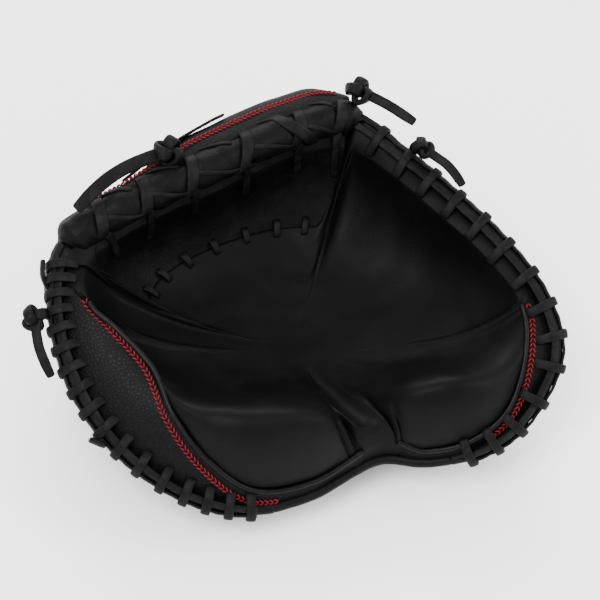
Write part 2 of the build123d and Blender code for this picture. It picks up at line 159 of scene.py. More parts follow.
# hinge creases of the palm: place at the heel, slope, width and depth, in millimetres
CREASES = ((-5, 0.10, 7, 0.8), (16, 0.35, 8, 0.9), (-26, -0.32, 8, 0.8), (32, 0.8, 9, 0.6))


# ---- sizes and colours that a user may change ----
def length_property(name, description, value):
    return FloatProperty(
        name=name, description=description, default=value, min=0.0, unit="LENGTH", precision=4
    )


def colour_property(name, description, value):
    return FloatVectorProperty(
        name=name, description=description, default=value, min=0.0, max=1.0, size=3, subtype="COLOR"
    )


class MittSizes(PropertyGroup):
    hide: length_property("Leather", "Thickness of the outer leather", 0.0026)
    lining: length_property("Lining", "Thickness of the lining", 0.0014)
    lace_width: length_property("Lace width", "Width of the flat lace", 0.006)
    lace_thick: length_property("Lace thickness", "Thickness of the flat lace", 0.0024)
    binding_radius: length_property("Binding", "Radius of the rolled rim binding", 0.0037)
    roll_radius: length_property("Web roll", "Radius of the padded roll on top of the web", 0.0092)
    piping_radius: length_property("Piping", "Radius of the piping between palm and gusset", 0.002)
    stitch_pitch: length_property("Stitch pitch", "Distance from one stitch to the next", 0.0030)
    finger_ridges: IntProperty(
        name="Finger stalls", description="Number of finger stalls sewn into the back",
        default=3, min=1, max=4,
    )


class MittColours(PropertyGroup):
    palm: colour_property("Palm", "Smooth leather of the palm", (0.0014, 0.0014, 0.0015))
    gusset: colour_property("Gusset", "Pebbled leather of the sides", (0.0021, 0.0021, 0.0023))
    lace: colour_property("Lace", "Rawhide laces", (0.0024, 0.0024, 0.0026))
    thread: colour_property("Thread", "Stitching thread", (0.11, 0.004, 0.008))
    lining: colour_property("Lining", "Soft leather against the hand", (0.012, 0.012, 0.0125))
    felt: colour_property("Felt", "Wool felt of the pads", (0.07, 0.066, 0.06))
    fleece: colour_property("Fleece", "Pile under the wrist strap", (0.045, 0.045, 0.047))
    floor: colour_property("Floor", "Plain pale floor", (0.97, 0.97, 0.97))


# ---- shape functions ----
def between(before, start, end, after, share):
    """Place on the smooth curve from start to end that comes from before and goes on to after."""
    slope = end - before
    bend = 2 * before - 5 * start + 4 * end - after
    twist = 3 * start - before - 3 * end + after
    return 0.5 * (2 * start + slope * share + bend * share**2 + twist * share**3)


def round_the_mitt(values, t):
    """Value at station t of a list given at the stations, as a smooth closed curve."""
    whole = math.floor(t)
    return between(*(values[(whole + k) % COUNT] for k in (-1, 0, 1, 2)), t - whole)


def ease(share):
    share = min(max(share, 0.0), 1.0)
    return share * share * (3 - 2 * share)


def over_stops(stops, t):
    """Value at t of a row of stops, eased from one to the next."""
    for (low, start), (high, end) in zip(stops, stops[1:]):
        if t <= high:
            return start + (end - start) * ease((t - low) / (high - low))
    return stops[-1][1]


def softened(values, times):
    """A list of points at the stations, each drawn towards its neighbours a number of times."""
    for _ in range(times):
        values = [
            (values[i - 1] + 2 * values[i] + values[(i + 1) % COUNT]) / 4 for i in range(COUNT)
        ]
    return values


POCKET_EDGE = softened(PALM_EDGE, 6)    # rounder outline that the pocket's bottom follows


def lacing_edge(t):
    return round_the_mitt(LACING_EDGE, t)


def palm_edge(t):
    return round_the_mitt(PALM_EDGE, t)


def profile_reach(s, t):
    return s + round_the_mitt(WALL_BULGE, t) * s * math.sin(math.pi * s)


def palm_surface(s, t):
    """Outer face of the palm: s is 0 at the pocket centre and 1 at the palm edge."""
    follow = s**3.5
    out = palm_edge(t) * follow + round_the_mitt(POCKET_EDGE, t) * (1 - follow) - POCKET_CENTRE
    lobe = round_the_mitt(LOBE_HEIGHT, t) * s**3.2 * max(0.0, 1 - s) ** 0.6 / 0.205
    reach = profile_reach(s, t)
    return POCKET_CENTRE + Vector((out.x * reach, out.y * reach, out.z * s**2.2 + lobe))


def ceiling_surface(s, t):
    """Lining over the hand."""
    rim = lacing_edge(t)
    out = 0.5 * (palm_edge(t) + rim) - CEILING_CENTRE
    reach = profile_reach(s, t)
    rise = (rim.z - 0.010 - CEILING_CENTRE.z) * s**3
    return CEILING_CENTRE + Vector((out.x * reach, out.y * reach, rise))


def back_surface(v, t):
    """Outer face of the back: v is 0 at the lacing edge and 1 under the middle of the hand."""
    rim = lacing_edge(t)
    bulge = 0.32 * round_the_mitt(BACK_BULGE, t) * math.sin(math.pi * math.sqrt(max(v, 0.0)))
    reach = 1 - max(v, 0.0) ** 1.6 + bulge
    out = rim - BACK_CENTRE
    height = rim.z * max(0.0, 1 - v / FLAT_FROM) ** 2
    return Vector((BACK_CENTRE.x + out.x * reach, BACK_CENTRE.y + out.y * reach, height))


def gusset_surface(u, t):
    """Outer face of the side: u is 0 at the piping and 1 at the lacing edge."""
    inner = palm_edge(t)
    across = lacing_edge(t) - inner
    puff = 0.10 * across.length * math.sin(math.pi * min(max(u, 0.0), 1.0))
    return inner + across * u + Vector((0, 0, puff))


def hide_surface(e, t):
    """Palm and side in one run: e is 0 in the pocket, 1 at the palm edge, 2 at the lacing edge."""
    return palm_surface(e, t) if e <= 1 else gusset_surface(e - 1, t)


def inward(surface, a, t, step=0.01):
    """Unit normal of a surface that points into the mitt's body."""
    low = max(a, 0.04)
    across = surface(low + step, t) - surface(low - step, t)
    along = surface(low, t + step) - surface(low, t - step)
    return across.cross(along).normalized()


def sunk(surface, depth):
    """The surface again, that far inside its outer face."""

    def moved(a, t):
        return surface(a, t) + inward(surface, a, t) * depth

    return moved


def margin(surface, t, start, distance):
    """The share of a profile that lies the given distance from its end at 0 or 1."""
    share = start
    step = 0.004 if start < 0.5 else -0.004
    origin = surface(start, t)
    while (surface(share, t) - origin).length < distance:
        share += step
    return share


def rim_axes(t):
    """Middle of the rim, its direction, and the directions of the side and the back from it."""
    middle = lacing_edge(t)
    along = (lacing_edge(t + 0.02) - lacing_edge(t - 0.02)).normalized()
    wall = hide_surface(1.4, t) - middle
    back = back_surface(0.03, t) - middle
    wall = (wall - along * wall.dot(along)).normalized()
    back = (back - along * back.dot(along)).normalized()
    return middle, along, wall, back


def window_edge(x, y):
    """Distance from the opening over the back of the hand; below 0 inside it."""

    def rounded_box(centre, width, height, corner):
        right = abs(x - centre.x) - width / 2 + corner
        up = abs(y - centre.y) - height / 2 + corner
        return math.hypot(max(right, 0.0), max(up, 0.0)) + min(max(right, up), 0.0) - corner

    over_hand = rounded_box(at(4, -14), 64 * MM, 44 * MM, 16 * MM)
    at_wrist = rounded_box(at(5, -78), 92 * MM, 84 * MM, 14 * MM)
    return min(over_hand, at_wrist)


@functools.lru_cache(maxsize=None)
def back_end(t):
    """Share of the back's profile at which the opening begins."""
    v = 0.10
    while v < 0.9:
        point = back_surface(v, t)
        if window_edge(point.x, point.y) < 0.0015:
            break
        v += 0.004
    return v


# ---- mesh helpers ----
def surface_sheet(bm, point, across, along, cloth=(1.0, 1.0)):
    """A grid laid on point(u, v), both from 0 to 1; cloth is its size on the UV map, in metres."""
    uv_map = bm.loops.layers.uv.verify()
    made = bmesh.ops.create_grid(bm, x_segments=across, y_segments=along, size=0.5)["verts"]
    faces = {face for vert in made for face in vert.link_faces}
    for face in faces:
        for corner in face.loops:
            place = corner.vert.co
            corner[uv_map].uv = ((place.x + 0.5) * cloth[0], (place.y + 0.5) * cloth[1])
    for vert in made:
        vert.co = point(vert.co.x + 0.5, vert.co.y + 0.5)
    bmesh.ops.remove_doubles(bm, verts=made, dist=1e-6)


def sheet_facing(direction, point, across, along, cloth=(1.0, 1.0)):
    """A new mesh with a sheet on point(u, v) whose faces look in the direction direction(point)."""
    bm = bmesh.new()
    surface_sheet(bm, point, across, along, cloth)
    face_towards(bm, direction)
    return bm


def face_towards(bm, direction):
    """Turns the faces so that they look in the direction that direction(point) gives."""
    bm.normal_update()
    looks = 0.0
    for face in bm.faces:
        looks += face.normal.dot(direction(face.calc_center_median())) * face.calc_area()
    if looks < 0:
        bmesh.ops.reverse_faces(bm, faces=bm.faces[:])
        bm.normal_update()


def from_middle(point):
    return point - Vector((POCKET_CENTRE.x, POCKET_CENTRE.y, 0.05))


def outside(point):
    """Away from the mitt's middle, and a little down."""
    return from_middle(point) + Vector((0, 0, -0.03))


def upward(_point):
    return UP


def downward(_point):
    return -UP


def squared(value, power):
    return math.copysign(abs(value) ** power, value)


def lay_lace(bm, points, ups, width, thick, sides=8, closed=False, taper=None, power=0.55):
    """A flat or round strip swept along points, with its broad face towards ups."""
    count = len(points)
    rings = []
    for i, point in enumerate(points):
        ahead = points[(i + 1) % count] if closed else points[min(i + 1, count - 1)]
        behind = points[i - 1] if closed else points[max(i - 1, 0)]
        along = (ahead - behind).normalized()
        across = along.cross(ups[i]).normalized()
        up = across.cross(along)
        grow = taper(i / (count - 1)) if taper else 1.0
        ring = []
        for k in range(sides):
            angle = 2 * math.pi * (k + 0.5) / sides
            aside = squared(math.cos(angle), power) * width / 2 * grow
            lift = squared(math.sin(angle), power) * thick / 2 * min(1.0, grow + 0.2)
            ring.append(point + across * aside + up * lift)
        rings.append(ring)
    steps = count if closed else count - 1
    run = sum((b - a).length for a, b in zip(points, points[1:]))

    def place(u, v):
        return rings[round(v * steps) % count][round(u * sides) % sides]

    surface_sheet(bm, place, sides, steps, (2 * (width + thick), run))
    if not closed:
        open_ends = [edge for edge in bm.edges if edge.is_boundary]
        bmesh.ops.holes_fill(bm, edges=open_ends, sides=0)


def smooth_path(knots, steps, closed=False):
    """Points along a smooth curve through the given ones."""
    made = []
    count = len(knots)
    runs = count if closed else count - 1
    for i in range(runs):
        if closed:
            around = [knots[(i + k) % count] for k in (-1, 0, 1, 2)]
        else:
            around = [knots[min(max(i + k, 0), count - 1)] for k in (-1, 0, 1, 2)]
        made += [between(*around, k / steps) for k in range(steps)]
    if not closed:
        made.append(knots[-1])
    return made


def lay_tie(bm, knots, steps, up, width, thick):
    """A flat lace through the given knots, with its broad face towards up."""
    points = smooth_path(knots, steps)
    lay_lace(bm, points, [up] * len(points), width, thick)


def along_curve(curve, start, end, count):
    return [curve(start + (end - start) * k / count) for k in range(count + 1)]


def crumple(bm, size, depth, seed=0.0):
    """Moves the points in and out a little, as worn leather does."""
    bm.normal_update()
    shift = Vector((seed, seed * 0.7, seed * 1.3))
    for vert in bm.verts:
        vert.co += vert.normal * (depth * noise.noise(vert.co / size + shift))


def new_piece(name, bm, finish, closed=True):
    """Makes the object, gives it its finish, and links it to the scene."""
    if closed:
        bmesh.ops.recalc_face_normals(bm, faces=bm.faces[:])
    mesh = bpy.data.meshes.new(name)
    bm.to_mesh(mesh)
    bm.free()
    mesh.polygons.foreach_set("use_smooth", [True] * len(mesh.polygons))
    piece = bpy.data.objects.new(name, mesh)
    bpy.context.scene.collection.objects.link(piece)
    mesh.materials.append(FINISHES[finish])
    return piece


def thicken(piece, thickness):
    made = piece.modifiers.new("thickness", "SOLIDIFY")
    made.thickness = thickness
    made.offset = -1.0
    made.use_even_offset = False


def round_off(piece, levels=1):
    made = piece.modifiers.new("rounding", "SUBSURF")
    made.levels = levels
    made.render_levels = levels


def across_fold(piece, *nodes):
    """Bakes the piece's placement into its mesh and hides the solids that it stands for."""
    reach = FOLD_SIDE * FOLD_REACH
    FOLD_HEEL - reach
    FOLD_HEEL + reach
    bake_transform(piece)
    if nodes:
        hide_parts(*nodes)


def with_half(piece, half, *nodes):
    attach(piece, half)
    if nodes:
        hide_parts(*nodes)


def fasten(piece, half, nodes):
    """Ties the piece to one half of the mitt, or, if half is None, bakes its placement into its
    mesh.
    """
    if half:
        with_half(piece, half, *nodes)
    else:
        across_fold(piece, *nodes)


def sheet_piece(name, bm, finish, slot, thickness, *nodes, half=None):
    """A piece cut from a sheet of leather or cloth; nodes are the solids that it stands for."""
    piece = new_piece(name, bm, finish, closed=False)
    thicken(piece, thickness)
    round_off(piece)
    fasten(piece, half, nodes)


def full_piece(name, bm, finish, *nodes, half=None):
    """A lace, cord or pad, closed all round."""
    piece = new_piece(name, bm, finish)
    round_off(piece)
    fasten(piece, half, nodes)
    return piece


# ---- finishes ----
class Socket:
    """A socket of a material's nodes; arithmetic on it adds Math nodes."""

    def __init__(self, finish, socket):
        self.finish = finish
        self.socket = socket

    def maths(self, operation, first, second):
        return self.finish.node("ShaderNodeMath", {"operation": operation}, {0: first, 1: second})

    def __add__(self, other):
        return self.maths("ADD", self, other)

    def __sub__(self, other):
        return self.maths("SUBTRACT", self, other)

    def __rsub__(self, other):
        return self.maths("SUBTRACT", other, self)

    def __mul__(self, other):
        return self.maths("MULTIPLY", self, other)

    __radd__ = __add__
    __rmul__ = __mul__

    def band(self, low, high):
        """0 below low, 1 above high, eased between."""
        return self.finish.node(
            "ShaderNodeMapRange", {"interpolation_type": "SMOOTHSTEP"}, {0: self, 1: low, 2: high}
        )


class Finish:
    """A procedural material for one kind of leather, lace, thread or cloth."""

    def __init__(self, name, **shader):
        self.material = bpy.data.materials.new(name)
        self.material.use_nodes = True
        self.tree = self.material.node_tree
        self.tree.nodes.clear()
        self.shader = self.tree.nodes.new("ShaderNodeBsdfPrincipled")
        output = self.tree.nodes.new("ShaderNodeOutputMaterial")
        self.tree.links.new(self.shader.outputs[0], output.inputs[0])
        self.place = self.node("ShaderNodeTexCoord", {}, {}, "Object")
        for key, value in shader.items():
            self.shader.inputs[key.replace("_", " ")].default_value = value
        FINISHES[name] = self.material

    def node(self, kind, settings, values, output=0):
        made = self.tree.nodes.new(kind)
        for key, value in settings.items():
            setattr(made, key, value)
        for key, value in values.items():
            self.feed(made.inputs[key], value)
        return Socket(self, made.outputs[output])

    def feed(self, socket, value):
        if isinstance(value, Socket):
            self.tree.links.new(value.socket, socket)
        else:
            socket.default_value = value

    def cloth_place(self, scale):
        uv = self.node("ShaderNodeTexCoord", {}, {}, "UV")
        return self.node("ShaderNodeMapping", {}, {"Vector": uv, "Scale": scale})

    def grain(self, size, detail=3.0, roughness=0.55, place=None):
        """Soft clouds of about the given size."""
        place = place or self.place
        values = {"Scale": 1 / size, "Detail": detail, "Roughness": roughness, "Vector": place}
        return self.node("ShaderNodeTexNoise", {}, values, 0)

    def cells(self, size, feature="F1"):
        """Distance from the middle, or from the edge, of pores of the given size."""
        values = {"Vector": self.place, "Scale": 1 / size}
        return self.node("ShaderNodeTexVoronoi", {"feature": feature}, values, 0)

    def mixed(self, share, first, second):
        """The first colour where share is 0, and the second where it is 1."""
        values = {0: share, 6: (*first, 1.0), 7: (*second, 1.0)}    # the sockets for colours
        return self.node("ShaderNodeMix", {"data_type": "RGBA"}, values, 2)

    def paint(self, colour, roughness, height=None, depth=0.0, strength=0.0):
        """Feeds the shader; height is a relief of the given depth in metres."""
        self.feed(self.shader.inputs["Base Color"], colour)
        self.feed(self.shader.inputs["Roughness"], roughness)
        if height is not None:
            values = {"Height": height, "Distance": depth, "Strength": strength}
            self.feed(self.shader.inputs["Normal"], self.node("ShaderNodeBump", {}, values))


FINISHES = {}


def shade(colour, times):
    return tuple(part * times for part in colour)


def make_finishes(colours):
    palm = Finish("palm_leather", Specular_IOR_Level=0.05, Coat_Weight=0.01, Coat_Roughness=0.35)
    pores = palm.cells(0.0011)
    folds = palm.grain(0.016, 5.0, 0.6)
    rub = palm.grain(0.055, 2.0)
    palm.paint(
        palm.mixed(rub.band(0.35, 0.75), shade(colours.palm, 0.8), shade(colours.palm, 1.7)),
        0.40 + folds * 0.12 + rub * 0.14,
        pores * 0.35 + folds * 0.9, 0.0005, 0.55,
    )

    gusset = Finish("gusset_leather", Specular_IOR_Level=0.06, Coat_Weight=0.01, Coat_Roughness=0.3)
    pebble = gusset.cells(0.0021, "DISTANCE_TO_EDGE")
    swell = gusset.grain(0.006, 2.0)
    raised = pebble.band(0.0, 0.28)
    # painted shade: the colour is darker in the grooves between the pebbles and lighter on their
    # tops; roughness and bump follow the real relief
    gusset.paint(
        gusset.mixed(raised, shade(colours.gusset, 0.7), shade(colours.gusset, 1.2)),
        0.56 - raised * 0.16 + swell * 0.08,
        raised * 0.8 + swell * 0.5, 0.0004, 0.5,
    )

    web = Finish("web_leather", Specular_IOR_Level=0.05, Coat_Weight=0.01, Coat_Roughness=0.35)
    pores = web.cells(0.0013)
    folds = web.grain(0.010, 5.0, 0.65)
    web.paint(
        web.mixed(folds.band(0.4, 0.7), shade(colours.palm, 0.9), shade(colours.palm, 1.8)),
        0.42 + folds * 0.16,
        pores * 0.4 + folds, 0.0006, 0.6,
    )

    back = Finish("back_leather", Specular_IOR_Level=0.06, Coat_Weight=0.01, Coat_Roughness=0.4)
    pores = back.cells(0.0014)
    folds = back.grain(0.012, 5.0, 0.6)
    back.paint(
        back.mixed(folds.band(0.35, 0.75), shade(colours.gusset, 0.8), shade(colours.gusset, 1.6)),
        0.46 + folds * 0.14,
        pores * 0.6 + folds * 0.8, 0.0006, 0.6,
    )

    lace = Finish("lace", Specular_IOR_Level=0.06, Coat_Weight=0.01, Coat_Roughness=0.4)
    stretched = lace.cloth_place((1.0, 0.12, 1.0))
    fibres = lace.grain(0.0006, 3.0, 0.7, stretched)
    pores = lace.cells(0.0009)
    wear = lace.grain(0.007, 4.0, 0.6)
    lace.paint(
        lace.mixed(wear.band(0.4, 0.75), shade(colours.lace, 0.8), shade(colours.lace, 2.3)),
        0.42 + wear * 0.2,
        fibres * 0.5 + pores * 0.4 + wear * 0.5, 0.0004, 0.6,
    )

    binding = Finish("binding", Specular_IOR_Level=0.06, Coat_Weight=0.01, Coat_Roughness=0.3)
    folds = binding.grain(0.004, 4.0, 0.6)
    pores = binding.cells(0.001)
    binding.paint(
        binding.mixed(folds.band(0.4, 0.7), shade(colours.gusset, 0.7), shade(colours.gusset, 1.5)),
        0.4 + folds * 0.2,
        folds + pores * 0.3, 0.0005, 0.6,
    )

    piping = Finish("piping", Specular_IOR_Level=0.08, Coat_Weight=0.02, Coat_Roughness=0.25)
    folds = piping.grain(0.0035, 3.0)
    piping.paint(
        piping.mixed(folds.band(0.4, 0.7), shade(colours.palm, 0.8), shade(colours.palm, 1.8)),
        0.34 + folds * 0.16, folds, 0.0003, 0.5,
    )

    thread = Finish("thread", Specular_IOR_Level=0.12)
    strands = thread.grain(0.0007, 2.0)
    tone = thread.grain(0.012, 2.0)
    thread.paint(
        thread.mixed(
            tone * 0.5 + strands * 0.5, shade(colours.thread, 0.6), shade(colours.thread, 1.35)
        ),
        0.5 + strands * 0.2, strands, 0.0002, 0.6,
    )

    lining = Finish("lining", Specular_IOR_Level=0.3)
    nap = lining.grain(0.0012, 4.0, 0.7)
    marks = lining.grain(0.03, 3.0)
    lining.paint(
        lining.mixed(
            marks.band(0.35, 0.75), shade(colours.lining, 0.7), shade(colours.lining, 1.5)
        ),
        0.72 + nap * 0.2, nap + marks * 0.4, 0.0004, 0.6,
    )

    felt = Finish("felt", Specular_IOR_Level=0.2, Sheen_Weight=0.3, Sheen_Roughness=0.5)
    wool = felt.grain(0.0015, 6.0, 0.75)
    felt.paint(
        felt.mixed(wool.band(0.3, 0.7), shade(colours.felt, 0.75), shade(colours.felt, 1.1)),
        0.88 + wool * 0.1, wool, 0.0008, 0.8,
    )

    fleece = Finish("fleece", Specular_IOR_Level=0.15, Sheen_Weight=0.4, Sheen_Roughness=0.5)
    tufts = fleece.cells(0.0022)
    curl = fleece.grain(0.0009, 5.0, 0.7)
    fleece.paint(
        # painted shade: the colour is lighter on the middles of the tufts and darker in the sunken
        # gaps between them
        fleece.mixed(tufts.band(0.1, 0.6), shade(colours.fleece, 1.5), shade(colours.fleece, 0.6)),
        0.9 + curl * 0.08, curl - tufts * 0.9, 0.0015, 0.9,
    )

    floor = Finish("floor", Specular_IOR_Level=0.1)
    haze = floor.grain(0.4, 2.0)
    floor.paint(floor.mixed(haze, shade(colours.floor, 0.99), colours.floor), 0.9 + haze * 0.05)


# ---- stage ----
def aim(thing, place, target):
    thing.location = place
    thing.rotation_euler = (Vector(target) - Vector(place)).to_track_quat("-Z", "Y").to_euler()


def add_light(name, place, target, size, power):
    data = bpy.data.lights.new(name, "AREA")
    data.shape = "RECTANGLE"
    data.size, data.size_y = size
    data.energy = power
    lamp = bpy.data.objects.new(name, data)
    bpy.context.scene.collection.objects.link(lamp)
    aim(lamp, place, target)


def add_camera():
    """Stands in front of the heel, a little to the thumb's side, looking down into the pocket."""
    turn, height, roll = (math.radians(value) for value in (-25.0, 50.0, 4.0))
    target = Vector((0.0146, 0.0236, 0.060))
    distance = 1.3
    ahead = Vector((
        -math.sin(turn) * math.cos(height), math.cos(turn) * math.cos(height), -math.sin(height)
    ))
    level = Vector((math.cos(turn), math.sin(turn), 0.0))
    above = level.cross(ahead)
    right = level * math.cos(roll) + above * math.sin(roll)
    up = above * math.cos(roll) - level * math.sin(roll)
    data = bpy.data.cameras.new("camera")
    data.sensor_width = 36.0
    data.lens = 126.4
    data.clip_start = 0.05
    camera = bpy.data.objects.new("camera", data)
    bpy.context.scene.collection.objects.link(camera)
    axes = Matrix((right, up, -ahead)).transposed().to_4x4()
    camera.matrix_world = Matrix.Translation(target - ahead * distance) @ axes
    bpy.context.scene.camera = camera


# place, size and power in watts of each light, all aimed at the middle of the mitt
LIGHTS = {
    "key_light": ((-0.7, -0.5, 1.5), (0.7, 0.7), 34.0),
    "fill_light": ((1.2, -0.6, 0.9), (0.7, 0.7), 15.0),
    "rim_light": ((0.3, 1.4, 1.2), (1.2, 0.5), 32.0),
}
LIT_PLACE = (0.0, 0.0, 0.06)
SKY_STRENGTH = 2.2
FLOOR_REACH = 6.0


class MITT_OT_stage(Operator):
    """Finishes, floor, soft studio light and camera"""

    bl_idname = "mitt.stage"
    bl_label = "Stage and finishes"

    def execute(self, context):
        make_finishes(context.scene.mitt_colours)
        bm = bmesh.new()
        bmesh.ops.create_grid(bm, x_segments=2, y_segments=2, size=FLOOR_REACH)
        mesh = bpy.data.meshes.new("floor")
        bm.to_mesh(mesh)
        bm.free()
        mesh.materials.append(FINISHES["floor"])
        floor = bpy.data.objects.new("floor", mesh)
        context.scene.collection.objects.link(floor)
        world = bpy.data.worlds.new("studio")
        world.use_nodes = True
        sky = world.node_tree.nodes["Background"]
        sky.inputs["Color"].default_value = (1.0, 1.0, 1.0, 1.0)
        sky.inputs["Strength"].default_value = SKY_STRENGTH
        context.scene.world = world
        for name, (place, size, power) in LIGHTS.items():
            add_light(name, place, LIT_PLACE, size, power)
        add_camera()
        return {"FINISHED"}


# ---- lace tails and knots ----
def tail_line(name, points):
    """Points of the smooth line that a lace tail follows."""
    curve = bpy.data.curves.new(name + "_line", "CURVE")
    curve.dimensions = "3D"
    curve.resolution_u = 10
    spline = curve.splines.new("NURBS")
    spline.points.add(len(points) - 1)
    for control, point in zip(spline.points, points):
        control.co = (*at(*point), 1.0)
    spline.order_u = 3
    spline.use_endpoint_u = True
    bare = bpy.data.objects.new(name + "_line", curve)
    mesh = bpy.data.meshes.new_from_object(bare)
    line = [vert.co.copy() for vert in mesh.vertices]
    bpy.data.objects.remove(bare)
    bpy.data.curves.remove(curve)
    bpy.data.meshes.remove(mesh)
    return line


def overhand_knot(bm, middle, scale, turned, width, thick):
    """Overhand knot: a flat lace on a three-lobed line."""
    about_x, about_y, about_z = (
        Matrix.Rotation(math.radians(angle), 3, axis) for angle, axis in zip(turned, "XYZ")
    )
    turn = about_z @ about_y @ about_x
    points = []
    ups = []
    for k in range(42):
        a = 2 * math.pi * k / 42
        spot = Vector((
            math.sin(a) + 2 * math.sin(2 * a),
            math.cos(a) - 2 * math.cos(2 * a),
            -1.9 * math.sin(3 * a),
        ))
        points.append(middle + turn @ spot * (scale * MM))
        ups.append(turn @ (spot * 0.6 + Vector((0, 0, -math.sin(3 * a)))))
    lay_lace(bm, points, ups, width, thick, closed=True)


class MITT_OT_lace_tails(Operator):
    """Knots of the rim and web lacing, with their free ends"""

    bl_idname = "mitt.lace_tails"
    bl_label = "Knots and lace tails"

    def execute(self, context):
        sizes = context.scene.mitt_sizes
        thick = sizes.lace_thick * 1.15
        for name, (route, length, scale, broad, turned) in TAILS.items():
            line = tail_line(name, route)
            width = broad * MM
            bm = bmesh.new()
            overhand_knot(bm, line[0], scale, turned, 3.4 * scale * MM, thick * 1.4)
            half = TAIL_HALVES.get(name)
            full_piece(name + "_knot_lace", bm, "lace", name + "_knot", half=half)
            bm = bmesh.new()
            ups = []
            for i in range(len(line)):
                lean = 0.5 * i / len(line) - 0.2
                ups.append(Vector((-0.27 + 0.5 * math.sin(lean), -0.58, 0.77)))
            lay_lace(
                bm, line, ups, width * 1.04, thick * (1 + 0.15 * (width > 7 * MM)), 10,
                taper=lambda share: 1.0 - 0.16 * ease((share - 0.85) / 0.15),
            )
            tail = full_piece(name + "_tail_lace", bm, "lace", name + "_lace_tail", half=half)
        bm = bmesh.new()
        for stub in STUBS:
            knots = [at(*point) for point in stub]
            lay_tie(bm, knots, 4, Vector((-0.8, 0.3, 0.4)), 5.2 * MM, thick)
        full_piece("thumb_lace_stubs", bm, "lace", "thumb_lace_ends", half="thumb_half")
        return {"FINISHED"}


# ---- palm ----
def palm_point(u, v):
    t = v * COUNT
    return hide_surface(u * over_stops(LEATHER_END, t % COUNT), t)


def palm_folds(point):
    """Depth of the hinge creases that run from the heel notch into the pocket."""
    side = (point - FOLD_HEEL).dot(FOLD_SIDE)
    run = (point - FOLD_HEEL).dot(FOLD_AXIS)
    depth = 0.0
    for place, slope, wide, deep in CREASES:
        distance = side - (place * MM + slope * run)
        fade = ease(run / (30 * MM)) * (1 - ease((run - 70 * MM) / (60 * MM)))
        depth += deep * MM * math.exp(-((distance / (wide * MM)) ** 2)) * fade
    return depth


class MITT_OT_palm(Operator):
    """Palm leather from the two heel lobes to the foot of the web"""

    bl_idname = "mitt.palm"
    bl_label = "Palm leather"

    def execute(self, context):
        bm = sheet_facing(upward, palm_point, 40, COUNT * 8)
        crumple(bm, 34 * MM, 1.5 * MM, 3.0)
        crumple(bm, 11 * MM, 0.45 * MM, 7.0)
        for vert in bm.verts:
            vert.co -= vert.normal * palm_folds(vert.co)
        hide = context.scene.mitt_sizes.hide
        sheet_piece("palm_hide", bm, "palm_leather", "palm_leather", hide, "palm_leather")
        return {"FINISHED"}


# ---- web ----
def roll_axes(t):
    middle = lacing_edge(t)
    along = (lacing_edge(t + 0.02) - lacing_edge(t - 0.02)).normalized()
    side = along.cross(Vector((0, 0, 1))).normalized()
    return middle, along, side, side.cross(along)


def roll_swell(t):
    """The roll is pinched under each wrap and full between them."""
    pinch = sum(math.exp(-(((t - wrap) / 0.11) ** 2)) for wrap in ROLL_WRAPS)
    ends = ease((t - ROLL[0]) / 0.22) * ease((ROLL[1] - t) / 0.22)
    return (1.24 - 0.24 * min(pinch, 1.0)) * (0.55 + 0.45 * ends)


def web_back_surface(a, t):
    """Outer face of the web's back panel: a crest behind the roll up to a of 0.3, then the back."""
    middle, _, side, up = roll_axes(t)
    full = ease((t - 8.9) / 1.2) * ease((12.15 - t) / 0.7)    # the crest stands out in the middle
    if a >= 0.3:
        return back_surface(0.17 + (back_end(t) - 0.17) * ((a - 0.3) / 0.7) ** 1.2, t)
    crest = [
        middle + (side * -3 + up * 8.5) * MM,
        middle + (side * (-9 - 3 * full) + up * (7.2 + 3.0 * full)) * MM,
        middle + (side * (-11.5 - 8.5 * full) + up * (4.5 + 4.5 * full)) * MM,
        middle + (side * (-13 - 11.5 * full) + up * (-1 + 2 * full)) * MM,
        back_surface(0.11, t),
        back_surface(0.17, t),
    ]
    return smooth_path(crest, 16)[round(max(a, 0.0) / 0.3 * 80)]


def round_roll(t, angle, distance):
    middle, _, side, up = roll_axes(t)
    return middle + (side * math.cos(angle) + up * math.sin(angle)) * distance


